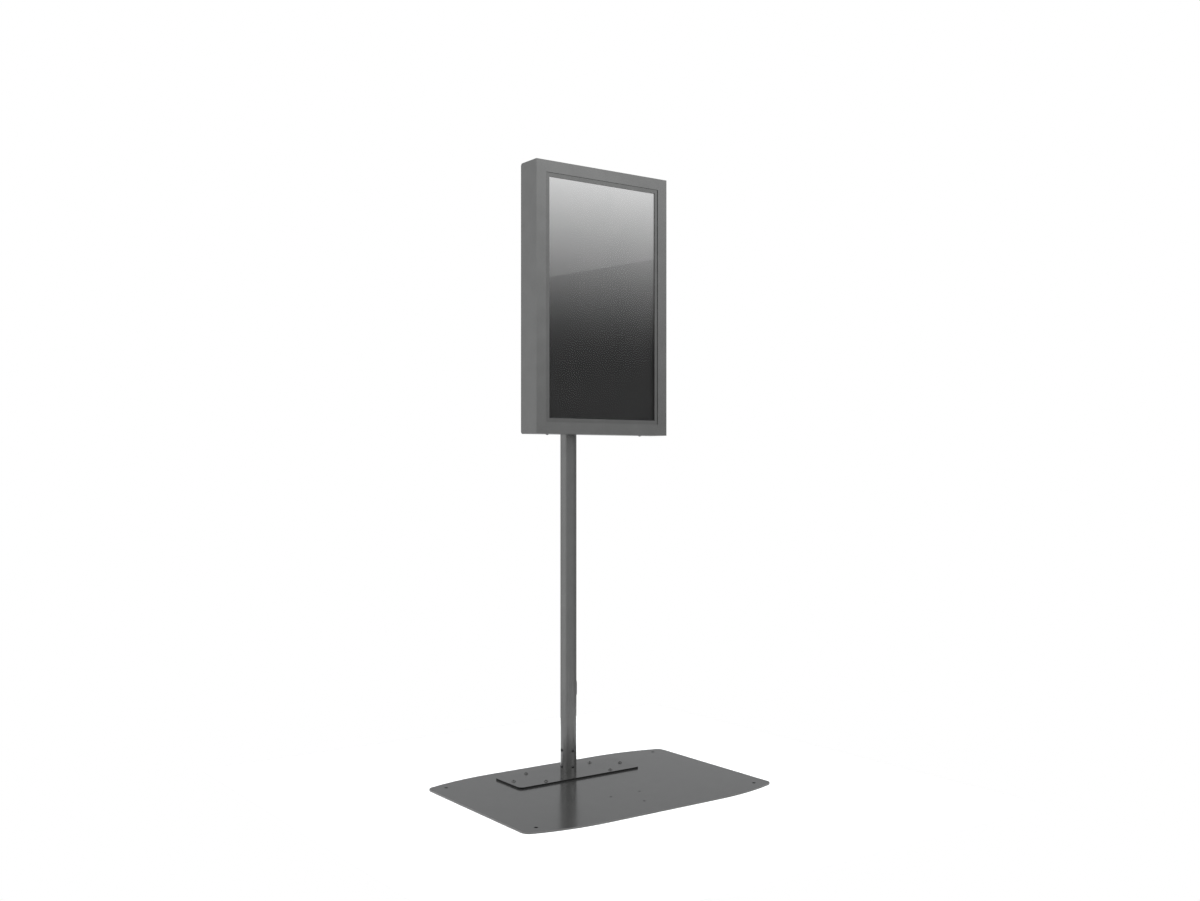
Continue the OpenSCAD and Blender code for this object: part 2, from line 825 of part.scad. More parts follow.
module touch_controller() {
    color(board_green) board(touch_pos, touch_size) {
        translate([28, 0, 14]) cube([18, 3, 18]);
        translate([14, 0, touch_size[2] - 9]) cube([46, 5, 7]);
    }
}

all_board_holes = concat(board_holes(board_pos, board_size), board_holes(touch_pos, touch_size));

module board_spacers() {
    color(zinc) for (p = all_board_holes) difference() {
        rod_y(7, p[0], p[1], y_tray_back, board_pos[1]);
        rod_y(3 + 2 * slip, p[0], p[1], y_tray_back + 2, board_pos[1] + 1);
    }
}

module board_screws() {
    color(zinc) for (p = all_board_holes) {
        rod_y(3, p[0], p[1], board_pos[1] - 5, board_pos[1] + board_size[1] + 1);
        rod_y(5.6, p[0], p[1], board_pos[1] + board_size[1], board_pos[1] + board_size[1] + 2);
    }
}

module wiring_loom() {
    lane_y = y_tray_back + 18;
    supply_top = supply_pos[2] + supply_size[2];
    player_side = player_pos[0] + player_size[0];
    player_top = player_pos[2] + player_size[2];
    signal_x = board_pos[0] + 22;
    lead_z = supply_pos[2] + 34;
    lead_end = 20;
    lead_sag = 16;
    color(black) {
        cable([[inlet_x, y_cover - 22, socket_z], [inlet_x, lane_y, socket_z],
               [inlet_x, lane_y, supply_pos[2]]], 6);
        cable([[rocker_x, y_cover - 17, socket_z], [rocker_x, lane_y, socket_z],
               [rocker_x, lane_y, supply_pos[2]]], 5);
        cable([[supply_pos[0], lane_y, lead_z], [supply_pos[0] - lead_end, lane_y, lead_z],
               [supply_pos[0] - lead_end, lane_y, lead_z - lead_sag],
               [player_side + lead_end, lane_y, lead_z - lead_sag],
               [player_side + lead_end, lane_y, lead_z], [player_side, lane_y, lead_z]], 5);
        cable([[signal_x, lane_y - 3, player_top], [signal_x, lane_y - 3, board_pos[2] + 2]], 6);
        cable([[fan_x, y_fan + 6, fan_z - fan_size / 2],
               [fan_x, y_fan + 6, fan_z - fan_size / 2 - lead_end],
               [fan_x, lane_y, fan_z - fan_size / 2 - lead_end], [fan_x, lane_y, supply_top]], 3);
    }
}

// ---------- fan ----------

module fan_frame() {
    color(black) translate([fan_x, 0, fan_z]) {
        difference() {
            wall_xz(y_fan, y_cover) round_rect(fan_size, fan_size, 4);
            rod_y(fan_hole_d, 0, 0, y_fan - 1, y_cover + 1);
            for (x = [-1, 1], z = [-1, 1])
                rod_y(4 + 2 * slip, x * fan_pitch / 2, z * fan_pitch / 2, y_fan - 1, y_cover + 1);
        }
        rod_y(32, 0, 0, y_fan, y_fan + 4);
        rod_y(4, 0, 0, y_fan + 3, y_fan + 14);
        for (a = [45, 135]) rotate([0, a, 0])
            translate([-fan_hole_d / 2 - 1, y_fan, -3]) cube([fan_hole_d + 2, 3, 6]);
    }
}

module fan_rotor() {
    color([0.12, 0.12, 0.13]) translate([fan_x, y_fan + 5, fan_z]) difference() {
        union() {
            rod_y(32, 0, 0, 0, 12);
            for (i = [0 : 6])
                rotate([0, i * 360 / 7, 0]) translate([fan_rotor_d / 4 + 3, 6, 0]) rotate([-35, 0, 0])
                cube([fan_rotor_d / 2 - 8, 1.6, 15], center = true);
        }
        rod_y(4 + 2 * run, 0, 0, -1, 10);
    }
}

module fan_screws() {
    color(zinc) for (x = [-1, 1], z = [-1, 1])
        translate([fan_x + x * fan_pitch / 2, y_cover_back, fan_z + z * fan_pitch / 2]) rotate([-90, 0, 0])
            button_screw(4, 7.6, 2.2, 16);
}

// ---------- rear cover and what is on it ----------

module service_cutout() {
    translate([door_x + door_w / 2, 0, door_mid])
        wall_xz(y_cover - 1, y_cover_back + 1) round_rect(door_w - 2 * door_lap, door_h - 2 * door_lap, 4);
}

// slots over the fan, each as long as the circle is wide there
module fan_vent() {
    vent_r = fan_hole_d / 2 - 3;
    for (i = [-4 : 4]) {
        z = i * 7.2;
        translate([fan_x, 0, fan_z + z]) wall_xz(y_cover - 1, y_cover_back + 1)
            rotate(90) slot(4, 2 * sqrt(vent_r * vent_r - z * z));
    }
}

module intake_vent() {
    for (i = [0 : 11]) translate([supply_pos[0] + 10 + i * 10, 0, supply_pos[2] + supply_size[2] * 0.6])
        wall_xz(y_cover - 1, y_cover_back + 1) slot(4, 50);
}

module rear_cover() {
    color(anthracite) difference() {
        translate([0, 0, z_mid]) wall_xz(y_cover, y_cover_back) round_rect(cover_w, cover_h, 5);
        service_cutout();
        fan_vent();
        intake_vent();
        vesa_rods(vesa_screw_d + 0.6, y_cover - 1, y_cover_back + 1);
        for (p = cover_points) rod_y(cover_screw_d + 4 * slip, p[0], p[1], y_cover - 1, y_cover_back + 1);
        for (x = [-1, 1], z = [-1, 1])
            rod_y(4.4, fan_x + x * fan_pitch / 2, fan_z + z * fan_pitch / 2, y_cover - 1, y_cover_back + 1);
        translate([0, 0, socket_z]) wall_xz(y_cover - 1, y_cover_back + 1) {
            translate([inlet_x, 0]) square([28, 21], center = true);
            translate([rocker_x, 0]) square([14, 20], center = true);
            translate([button_x, 0]) circle(d = 16 + 2 * slip);
            translate([entry_x, 0]) circle(d = entry_d);
        }
    }
}

module cover_screws() {
    color(zinc) for (p = cover_points) translate([p[0], y_cover_back, p[1]]) rotate([-90, 0, 0])
        button_screw(cover_screw_d, 7.6, 2.2, 9);
}

module power_inlet() {
    color(black) translate([inlet_x, 0, socket_z]) {
        difference() {
            union() {
                wall_xz(y_cover_back, y_cover_back + 2.5) round_rect(34, 27, 3);
                wall_xz(y_cover - 22, y_cover_back + 0.5) square([27, 20], center = true);
            }
            wall_xz(y_cover - 14, y_cover_back + 3) square([23, 16], center = true);
        }
        for (p = [[-7, -3], [7, -3], [0, 3]])
            translate([p[0] - 1, y_cover - 15, p[1] - 2]) cube([2, 14, 4]);
    }
}

module switch_body() {
    color(black) translate([rocker_x, 0, socket_z]) difference() {
        union() {
            wall_xz(y_cover_back, y_cover_back + 1.5) round_rect(17, 23, 2);
            wall_xz(y_cover - 17, y_cover_back + 0.5) square([13, 19], center = true);
        }
        wall_xz(y_cover - 7, y_cover_back + 3) square([10, 16.8], center = true);
        rod_x(2 + 2 * run, y_cover + 1, 0, -6, 6);
    }
}

module rocker() {
    color([0.6, 0.08, 0.06]) translate([rocker_x, y_cover + 1, socket_z]) rotate([-rocker_tilt, 0, 0]) {
        rod_x(2, 0, 0, -5.9, 5.9);
        rotate([90, 0, 90]) linear_extrude(9.4, center = true)
            polygon([[-4, -7], [-4, 7], [3.2, 7], [1.6, 0], [3.2, -7]]);
    }
}

module button_body() {
    color(zinc) translate([button_x, 0, socket_z]) difference() {
        union() {
            rod_y(20, 0, 0, y_cover_back, y_cover_back + 2);
            rod_y(16, 0, 0, y_cover - 14, y_cover_back + 0.5);
        }
        rod_y(button_d + 2 * run, 0, 0, y_cover - 14, y_cover_back + 3);
        rod_y(14.4, 0, 0, y_cover - 12.5, y_cover - 7.8);
    }
}

module power_button() {
    color(zinc) translate([button_x, 0, socket_z]) {
        rod_y(button_d, 0, 0, y_cover - 10, y_cover_back + 3.5);
        rod_y(14, 0, 0, y_cover - 9.8, y_cover - 7.8);
    }
}

module rear_grommet() {
    color(black) translate([entry_x, 0, socket_z]) difference() {
        union() {
            rod_y(entry_d + 6, 0, 0, y_cover_back, y_cover_back + 1.5);
            rod_y(entry_d + 6, 0, 0, y_cover - 1.5, y_cover);
            rod_y(entry_d - 2 * slip, 0, 0, y_cover - 1, y_cover_back + 1);
        }
        rod_y(entry_bore, 0, 0, y_cover - 3, y_cover_back + 3);
    }
}

module hinge_leaf() {
    leaf_w = 18;
    color(zinc) for (z = hinge_heights) difference() {
        union() {
            translate([hinge_x - leaf_w, y_cover_back, z - knuckle_len])
                cube([leaf_w, 1.5, 2 * knuckle_len]);
            for (s = [-1, 1]) translate([hinge_x, hinge_y, z + s * (knuckle_len * 3 + 1) / 4])
                cylinder(d = knuckle_d, h = (knuckle_len - 1) / 2, center = true);
        }
        translate([hinge_x, hinge_y, z - 2 * knuckle_len])
            cylinder(d = pin_d + 2 * slip, h = 4 * knuckle_len);
        translate([hinge_x - knuckle_d / 2 - 1, y_cover_back - 1, z - knuckle_len / 2 - 0.5])
            cube([knuckle_d, 5, knuckle_len + 1]);
    }
}

module hinge_pin() {
    color(steel) for (z = hinge_heights)
        translate([hinge_x, hinge_y, z - knuckle_len - 0.5]) cylinder(d = pin_d, h = 2 * knuckle_len + 1);
}

module service_door() {
    color(anthracite) difference() {
        union() {
            translate([door_x + door_w / 2, 0, door_mid])
                wall_xz(y_cover_back, y_lock_head) round_rect(door_w, door_h, 5);
            for (z = hinge_heights) {
                translate([hinge_x, hinge_y, z]) cylinder(d = knuckle_d, h = knuckle_len, center = true);
                translate([hinge_x, y_cover_back + 0.6, z - knuckle_len / 2])
                    cube([8, door_t - 0.6, knuckle_len]);
            }
        }
        for (z = hinge_heights)
            translate([hinge_x, hinge_y, z - knuckle_len])
                cylinder(d = pin_d + 2 * run, h = 2 * knuckle_len);
        rod_y(lock_barrel_d + 2 * slip, lock_x, lock_z, y_cover_back - 1, y_lock_head + 1);
    }
}

module lock_body() {
    color(zinc) difference() {
        union() {
            rod_y(lock_head_d, lock_x, lock_z, y_lock_head, y_lock_head + 2.5);
            rod_y(lock_barrel_d, lock_x, lock_z, y_lock_in, y_lock_head + 1);
            translate([lock_x, y_cover_back - 3, lock_z]) rotate([-90, 0, 0])
                cylinder(d = 22, h = 3, $fn = 6);
        }
        rod_y(lock_core_d + 2 * run, lock_x, lock_z, y_lock_in - 1, y_lock_head + 4);
    }
}

module lock_core() {
    color(steel) difference() {
        union() {
            rod_y(lock_core_d, lock_x, lock_z, y_lock_in, y_lock_head + 2.2);
            translate([lock_x - 3, y_lock_in - 4, lock_z - 3]) cube([6, 5, 6]);
        }
        translate([lock_x - 0.8, y_lock_head - 3, lock_z - 3]) cube([1.6, 6, 6]);
    }
}

module lock_cam() {
    cam_t = 2;
    step_r = 14;
    color(zinc) translate([lock_x, 0, lock_z]) difference() {
        union() {
            translate([-5, y_lock_in - cam_t, -step_r - cam_t]) cube([10, cam_t, step_r + cam_t + 6]);
            translate([-5, y_lock_in - cam_t, -step_r - cam_t])
                cube([10, y_cover - 0.6 - y_lock_in + cam_t, cam_t]);
            translate([-5, y_cover - 0.6 - cam_t, -step_r - 14]) cube([10, cam_t, 14]);
        }
        translate([-3.05, y_lock_in - 5, -3.05]) cube([6.1, 6, 6.1]);
    }
}

// ---------- the kiosk ----------

base_plate();
foot_flange();
pole_spigot();
flange_bolts();
pole_tube();
pole_screws();
pole_cap();
cable_grommets();
clamp_front();
clamp_rear();
clamp_liner();
clamp_bolts();
tilt_fork();
fork_screws();
pivot_bolt();
pivot_nut();
vesa_bracket();
vesa_screws();
housing_shell();
inner_bezel();
bezel_gasket();
touch_glass();
panel_gasket();
lcd_panel();
backlight_unit();
panel_rails();
rail_nuts();
chassis_tray();
mounting_bosses();
media_player();
player_feet();
power_supply();
display_board();
touch_controller();
board_spacers();
wiring_loom();
fan_frame();
fan_rotor();
rear_cover();
cover_screws();
security_screws();
security_nuts();
power_inlet();
switch_body();
rocker();
button_body();
power_button();
rear_grommet();
hinge_leaf();
hinge_pin();
service_door();
lock_body();
lock_core();
lock_cam();
fan_screws();
board_screws();
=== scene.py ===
"""Touchscreen kiosk: finishes, small details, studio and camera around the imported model."""

import json
import math

import bmesh
import bpy
from mathutils import Matrix, Vector


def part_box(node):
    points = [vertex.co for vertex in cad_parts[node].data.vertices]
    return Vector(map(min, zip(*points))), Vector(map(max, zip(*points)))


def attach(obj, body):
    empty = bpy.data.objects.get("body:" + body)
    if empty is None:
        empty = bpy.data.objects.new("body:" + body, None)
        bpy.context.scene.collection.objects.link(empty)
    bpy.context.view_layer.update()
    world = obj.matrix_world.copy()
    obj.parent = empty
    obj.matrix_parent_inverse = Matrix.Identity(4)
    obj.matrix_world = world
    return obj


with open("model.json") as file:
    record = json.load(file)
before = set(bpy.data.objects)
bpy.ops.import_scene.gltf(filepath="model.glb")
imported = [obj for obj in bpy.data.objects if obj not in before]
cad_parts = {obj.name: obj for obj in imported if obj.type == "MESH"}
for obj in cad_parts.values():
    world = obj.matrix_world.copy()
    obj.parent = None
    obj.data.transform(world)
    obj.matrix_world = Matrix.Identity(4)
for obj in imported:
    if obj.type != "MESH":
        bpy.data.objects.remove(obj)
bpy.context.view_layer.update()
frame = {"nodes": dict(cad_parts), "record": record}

MM = 0.001
scene = bpy.context.scene
scene.view_settings.view_transform = "Standard"


# ---------- small helpers ----------


def srgb(code):
    """An sRGB hex colour as the linear RGBA that the shaders take."""
    parts = [int(code[i : i + 2], 16) / 255 for i in (1, 3, 5)]
    return [c / 12.92 if c <= 0.04045 else ((c + 0.055) / 1.055) ** 2.4 for c in parts] + [1.0]


def add(tree, kind, links=None, **settings):
    """Adds a shader node. links gives a socket its value, or another node's output to read."""
    made = tree.nodes.new("ShaderNode" + kind)
    for name, value in settings.items():
        setattr(made, name, value)
    for socket, value in (links or {}).items():
        if isinstance(value, bpy.types.NodeSocket):
            tree.links.new(value, made.inputs[socket])
        else:
            made.inputs[socket].default_value = value
    return made


def finish_of(name):
    """A new material with only its shader; returns the material, its node tree and the shader."""
    made = bpy.data.materials.new(name)
    made.use_nodes = True
    tree = made.node_tree
    shader = tree.nodes["Principled BSDF"]
    return made, tree, shader


def object_coords(tree):
    return add(tree, "TexCoord").outputs["Object"]


def grain(tree, shader, size, height, detail=2.0, strength=0.3):
    """Fine bumps of about size metres across, height metres high."""
    noise = add(
        tree,
        "TexNoise",
        {"Vector": object_coords(tree), "Scale": 1 / size, "Detail": detail, "Roughness": 0.5},
    )
    bump = add(tree, "Bump", {"Height": noise.outputs["Fac"], "Strength": strength, "Distance": height})
    tree.links.new(bump.outputs["Normal"], shader.inputs["Normal"])
    return noise


def tone(tree, shader, dark, light, size, stretch=(1, 1, 1)):
    """Colour that drifts between two close tones over patches of about size metres."""
    place = add(tree, "Mapping", {"Vector": object_coords(tree), "Scale": stretch})
    cloud = add(tree, "TexNoise", {"Vector": place.outputs["Vector"], "Scale": 1 / size, "Detail": 3.0})
    ramp = add(tree, "ValToRGB", {"Fac": cloud.outputs["Fac"]})
    ramp.color_ramp.elements[0].color = srgb(dark)
    ramp.color_ramp.elements[1].color = srgb(light)
    ramp.color_ramp.elements[0].position = 0.3
    ramp.color_ramp.elements[1].position = 0.7
    tree.links.new(ramp.outputs["Color"], shader.inputs["Base Color"])
    return ramp.outputs["Color"]


def roughness_drift(tree, shader, low, high, size):
    cloud = add(tree, "TexNoise", {"Vector": object_coords(tree), "Scale": 1 / size, "Detail": 2.0})
    spread = add(
        tree,
        "MapRange",
        {"Value": cloud.outputs["Fac"], "From Min": 0.3, "From Max": 0.7, "To Min": low, "To Max": high},
    )
    tree.links.new(spread.outputs["Result"], shader.inputs["Roughness"])


# ---------- finishes ----------


def powder_coat(name, dark, light, edge=1.0, polish=0.0):
    """Anthracite powder coat with aluminium flake in it: satin, with a fine orange peel.
    edge scales down the colour of upright faces: painted shade, for the contact shadow along a thin plate's
    cut edge and the shaded sides of a domed head.
    polish takes that much off the roughness."""
    made, tree, shader = finish_of(name)
    colour = tone(tree, shader, dark, light, 0.05)
    roughness_drift(tree, shader, 0.22 - polish, 0.25 - polish, 0.02)
    shader.inputs["Metallic"].default_value = 0.85
    grain(tree, shader, 0.9 * MM, 0.012 * MM)
    # painted shade: the colour of faces that stand upright is scaled down toward edge
    if edge < 1:
        facing = add(tree, "SeparateXYZ", {"Vector": add(tree, "NewGeometry").outputs["Normal"]})
        level = add(tree, "Math", {0: facing.outputs["Z"]}, operation="ABSOLUTE")
        painted_shade_factor = add(
            tree,
            "MapRange",
            {"Value": level.outputs[0], "From Min": 0.2, "From Max": 0.8, "To Min": edge, "To Max": 1.0},
        )
        shaded_colour = add(tree, "VectorMath", {0: colour, "Scale": painted_shade_factor.outputs["Result"]}, operation="SCALE")
        tree.links.new(shaded_colour.outputs["Vector"], shader.inputs["Base Color"])
    return made


def black_oxide():
    """Black oxide on a steel screw: dark, slightly oily, with soft highlights."""
    made, tree, shader = finish_of("black_oxide_steel")
    tone(tree, shader, "#0a0a0b", "#121213", 0.002)
    roughness_drift(tree, shader, 0.16, 0.24, 0.001)
    shader.inputs["Metallic"].default_value = 0.3
    return made


def zinc_plate():
    """Bright zinc plating over folded sheet: pale metal, cloudy on the scale of a few millimetres."""
    made, tree, shader = finish_of("zinc_plated_steel")
    tone(tree, shader, "#bcbfc3", "#cacdd0", 0.012)
    roughness_drift(tree, shader, 0.3, 0.42, 0.006)
    shader.inputs["Metallic"].default_value = 1.0
    grain(tree, shader, 0.6 * MM, 0.01 * MM)
    return made


def bright_steel():
    """Turned and polished steel: even and bright, with fine turning lines round it."""
    made, tree, shader = finish_of("bright_steel")
    tone(tree, shader, "#c2c2c3", "#cececf", 0.004)
    roughness_drift(tree, shader, 0.16, 0.26, 0.003)
    shader.inputs["Metallic"].default_value = 1.0
    return made


def black_plastic():
    """Moulded black ABS with a spark-eroded grain: matt, catching a little grey light."""
    made, tree, shader = finish_of("black_abs")
    tone(tree, shader, "#19191a", "#212122", 0.01)
    roughness_drift(tree, shader, 0.45, 0.6, 0.004)
    shader.inputs["IOR"].default_value = 1.53
    grain(tree, shader, 0.35 * MM, 0.02 * MM)
    return made


def rubber():
    """Moulded EPDM rubber: matt and very dark."""
    made, tree, shader = finish_of("black_rubber")
    tone(tree, shader, "#141414", "#1b1b1b", 0.005)
    roughness_drift(tree, shader, 0.7, 0.85, 0.003)
    grain(tree, shader, 0.5 * MM, 0.01 * MM)
    return made


def cover_glass():
    """Chemically strengthened glass with an anti-reflection coat: clear, with a faint sharp reflection."""
    made, tree, shader = finish_of("coated_touch_glass")
    tone(tree, shader, "#fbfcfc", "#ffffff", 0.1)
    shader.inputs["Roughness"].default_value = 0.03
    shader.inputs["IOR"].default_value = 1.12
    shader.inputs["Transmission Weight"].default_value = 1.0
    return made


def painted_glare_ramp(mid_z):
    """The panel's glowing painted reflection: a grey ramp, dark below and light above, with a lighter slanted
    band on top, standing in for the glare on the glass. Greys are sRGB shares from 0 to 1, and the last step
    turns them into light."""
    grey_per_metre, grey_at_middle = 1.30, 0.3266
    darkest, ease = 0.159, 0.15
    slope, glare_above_middle, glare_lift = -0.233, 0.1025, 0.087
    made, tree, shader = finish_of("painted_glare_display")

    def sum_of(value, factor, offset):
        node = add(tree, "Math", {0: value, 1: factor, 2: offset}, operation="MULTIPLY_ADD")
        return node.outputs[0]

    xyz = add(tree, "SeparateXYZ", {"Vector": object_coords(tree)})
    rise = sum_of(xyz.outputs["Z"], grey_per_metre, grey_at_middle - grey_per_metre * mid_z)
    ramp = add(tree, "Math", {0: rise, 1: darkest, 2: ease}, operation="SMOOTH_MAX").outputs[0]
    slant = sum_of(xyz.outputs["X"], slope, xyz.outputs["Z"])
    glare_sweep = add(tree, "Math", {0: slant, 1: mid_z + glare_above_middle}, operation="GREATER_THAN")
    glare_grey = sum_of(sum_of(ramp, -glare_lift, glare_lift), glare_sweep.outputs[0], ramp)
    light = add(tree, "Math", {0: glare_grey, 1: 2.2}, operation="POWER")
    colour = add(tree, "CombineColor", {i: light.outputs[0] for i in range(3)})
    tree.links.new(colour.outputs["Color"], shader.inputs["Emission Color"])
    shader.inputs["Emission Strength"].default_value = 1.0
    shader.inputs["Base Color"].default_value = srgb("#050505")
    shader.inputs["Roughness"].default_value = 0.6
    shader.inputs["Specular IOR Level"].default_value = 0.05
    return made


def display_frame():
    """Galvanised pressed steel back of the display module: dull zinc with large soft spangle."""
    made, tree, shader = finish_of("galvanised_steel")
    tone(tree, shader, "#a4a8ab", "#bcbfc2", 0.02)
    roughness_drift(tree, shader, 0.4, 0.55, 0.01)
    shader.inputs["Metallic"].default_value = 1.0
    return made


def circuit_board():
    """Green solder mask over copper tracks, satin."""
    made, tree, shader = finish_of("solder_mask")
    tone(tree, shader, "#0c3a20", "#14502c", 0.003)
    roughness_drift(tree, shader, 0.3, 0.45, 0.002)
    grain(tree, shader, 1.2 * MM, 0.02 * MM)
    return made


def red_plastic():
    """Moulded red polycarbonate, slightly glossy."""
    made, tree, shader = finish_of("red_polycarbonate")
    tone(tree, shader, "#8e1410", "#a01813", 0.006)
    roughness_drift(tree, shader, 0.28, 0.36, 0.003)
    shader.inputs["IOR"].default_value = 1.58
    grain(tree, shader, 0.4 * MM, 0.008 * MM)
    return made


COAT = ("#5b5b5a", "#5f5f5e")
panel_low, panel_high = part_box("lcd_panel")
FINISHES = {
    "anthracite_powder_coat": powder_coat("anthracite_powder_coat", *COAT),
    "black_oxide_steel": black_oxide(),
    "zinc_plated_steel": zinc_plate(),
    "bright_steel": bright_steel(),
    "black_plastic": black_plastic(),
    "black_rubber": rubber(),
    "touch_glass": cover_glass(),
    # the film glows with a painted reflection, the glare of the glass
    "display_film": painted_glare_ramp((panel_low[2] + panel_high[2]) / 2),
    "display_frame": display_frame(),
    "circuit_board": circuit_board(),
    "red_plastic": red_plastic(),
}


# nodes whose coat differs from that of their slot
OWN_FINISH = {
    # the recessed bezel is coloured darker than the frame: painted shade of the recess behind the lip
    "inner_bezel": powder_coat("recess_shaded_powder_coat", "#545453", "#585857"),
    # painted contact shadow: the flange's upright cut edge is coloured near black
    "foot_flange": powder_coat("flange_coat_painted_edge_shade", *COAT, edge=0.12),
    # bolt heads in a darker coat, with painted shade on the dome's sides and the lit top left lighter
    "flange_bolts": powder_coat("bolt_coat_painted_side_shade", "#4a4a49", "#4f4f4e", edge=0.10),
    "base_plate": powder_coat("base_powder_coat", *COAT, polish=0.05),
}


def paint_nodes():
    """Gives every carried-over node the finish of its material slot."""
    for row in frame["record"]["subparts"]:
        mesh = frame["nodes"][row["node"]].data
        mesh.materials.clear()
        mesh.materials.append(OWN_FINISH.get(row["node"], FINISHES[row["material_slot"]]))


def paint_soldered_parts():
    """On the two boards, what stands up from the green laminate is black like moulded packages."""
    for node in ("display_board", "touch_controller"):
        mesh = frame["nodes"][node].data
        laminate_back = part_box(node)[0].y + 1.6 * MM
        mesh.materials.append(FINISHES["black_plastic"])
        for face in mesh.polygons:
            face.material_index = int(face.center.y > laminate_back + 0.2 * MM)


def paint_bores(node, largest=14 * MM):
    """The walls of the holes through a plate are coloured near black, as painted shade inside the holes."""
    mesh = frame["nodes"][node].data
    # painted shade: a near-black coat on the bore walls
    bore_shade = powder_coat("painted_bore_shade", "#1c1c1c", "#212121")
    mesh.materials.append(bore_shade)
    shape = bmesh.new()
    shape.from_mesh(mesh)
    walls = {face for face in shape.faces if abs(face.normal.z) < 0.5}
    while walls:
        ring, edge = set(), {walls.pop()}
        while edge:
            ring |= edge
            edge = {near for face in edge for side in face.edges for near in side.link_faces} & walls
            walls -= edge
        spots = [vert.co for face in ring for vert in face.verts]
        if all(max(at[i] for at in spots) - min(at[i] for at in spots) < largest for i in (0, 1)):
            for face in ring:
                mesh.polygons[face.index].material_index = 1
    shape.free()


paint_nodes()
paint_soldered_parts()
paint_bores("base_plate")


# ---------- small pieces ----------


def piece(name, shape, body, slot):
    """Makes an object of the bmesh shape, painted as its slot, and lets it ride on the body."""
    mesh = bpy.data.meshes.new(name)
    shape.to_mesh(mesh)
    shape.free()
    mesh.materials.append(FINISHES[slot])
    made = bpy.data.objects.new(name, mesh)
    scene.collection.objects.link(made)
    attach(made, body)


def block(shape, centre, size, bevel):
    """A box with rounded edges."""
    sides = Matrix.Diagonal((*size, 1))
    new = bmesh.ops.create_cube(shape, size=1, matrix=Matrix.Translation(centre) @ sides)["verts"]
    edges = list({edge for vert in new for edge in vert.link_edges})
    bmesh.ops.bevel(shape, geom=edges, offset=bevel, segments=2, profile=0.5, affect="EDGES", material=-1)


def turned(shape, centre, axis, outline, angle=2 * math.pi, start=0.0):
    """Turns an outline of (radius, height) points about the axis through centre."""
    stand_up = Vector(axis).to_track_quat("Z", "Y").to_matrix().to_4x4()
    place = Matrix.Translation(centre) @ stand_up @ Matrix.Rotation(start, 4, "Z")
    verts = [shape.verts.new(place @ Vector((radius, 0, height))) for radius, height in outline]
    edges = [shape.edges.new(pair) for pair in zip(verts, verts[1:])]
    whole = angle >= 2 * math.pi
    bmesh.ops.spin(
        shape,
        geom=verts + edges,
        cent=Vector(centre),
        axis=place.to_3x3() @ Vector((0, 0, 1)),
        angle=angle,
        steps=32,
        use_merge=whole,
    )
    bmesh.ops.remove_doubles(shape, verts=shape.verts, dist=1e-7)
    if not whole:
        bmesh.ops.holes_fill(shape, edges=shape.edges, sides=len(outline))
    bmesh.ops.recalc_face_normals(shape, faces=shape.faces)


def band(radius, wall, width):
    """Closed outline of a flat ring for turned(): inner radius, wall thickness and width."""
    half = width / 2
    return [(radius, -half), (radius + wall, -half), (radius + wall, half), (radius, half), (radius, -half)]


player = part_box("media_player")
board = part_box("display_board")
cover_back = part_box("rear_cover")[1].y
SIGNAL_LEAD = Vector((board[0].x + 22 * MM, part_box("chassis_tray")[0].y + 16.5 * MM, 0))
LEAD_RADIUS = 3 * MM


def cable_ties():
    """Nylon ties round the lead from the media player to the display board."""
    shape = bmesh.new()
    low, high = player[1].z + 45 * MM, board[0].z - 45 * MM
    for i in range(4):
        place = SIGNAL_LEAD + Vector((0, 0, low + (high - low) * i / 3))
        turned(shape, place, (0, 0, 1), band(LEAD_RADIUS, 1.1 * MM, 3.6 * MM))
        block(shape, place + Vector((0, 4.6 * MM, 0)), (5 * MM, 3.4 * MM, 5.2 * MM), 0.6 * MM)
        block(shape, place + Vector((4 * MM, 5.2 * MM, 0)), (7 * MM, 1.1 * MM, 3.2 * MM), 0.3 * MM)
    piece("cable_ties", shape, "housing", "black_plastic")


def signal_plugs():
    """Moulded plugs on both ends of that lead, each with a ribbed sleeve."""
    shape = bmesh.new()
    for end, out in ((player[1].z, 1), (board[0].z + 2 * MM, -1)):
        block(shape, SIGNAL_LEAD + Vector((0, 0, end + out * 8 * MM)), (15 * MM, 8.6 * MM, 16 * MM), 1.2 * MM)
        for rib in range(5):
            place = SIGNAL_LEAD + Vector((0, 0, end + out * (18 + 2.6 * rib) * MM))
            turned(shape, place, (0, 0, 1), band(LEAD_RADIUS, (2.0 - 0.3 * rib) * MM, 1.5 * MM))
    piece("signal_plugs", shape, "housing", "black_plastic")


def hinge_rivets():
    """Domed rivets that hold the fixed hinge leaves on the rear cover."""
    shape = bmesh.new()
    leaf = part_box("hinge_leaf")
    leaf_length = 52 * MM
    dome = [(2.4 * MM * math.cos(a), 1.1 * MM * math.sin(a)) for a in (math.pi * i / 12 for i in range(7))]
    for leaf_low in (leaf[0].z, leaf[1].z - leaf_length):
        for along in (9 * MM, leaf_length - 9 * MM):
            place = (leaf[0].x + 6 * MM, cover_back + 1.5 * MM, leaf_low + along)
            turned(shape, place, (0, 1, 0), dome)
    piece("hinge_rivets", shape, "housing", "bright_steel")


def power_symbol():
    """Ring open on one side with an upright stroke, filled into the button's face."""
    low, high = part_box("power_button")
    centre = Vector(((low.x + high.x) / 2, high.y, (low.z + high.z) / 2))
    gap = math.radians(70)
    ring = band(2.1 * MM, 0.55 * MM, 0.1 * MM)
    shape = bmesh.new()
    turned(shape, centre, (0, 1, 0), ring, angle=2 * math.pi - gap, start=math.pi / 2 + gap / 2)
    block(shape, centre + Vector((0, 0, 1.9 * MM)), (0.6 * MM, 0.1 * MM, 2.2 * MM), 0.04 * MM)
    piece("power_symbol", shape, "power_button", "black_plastic")


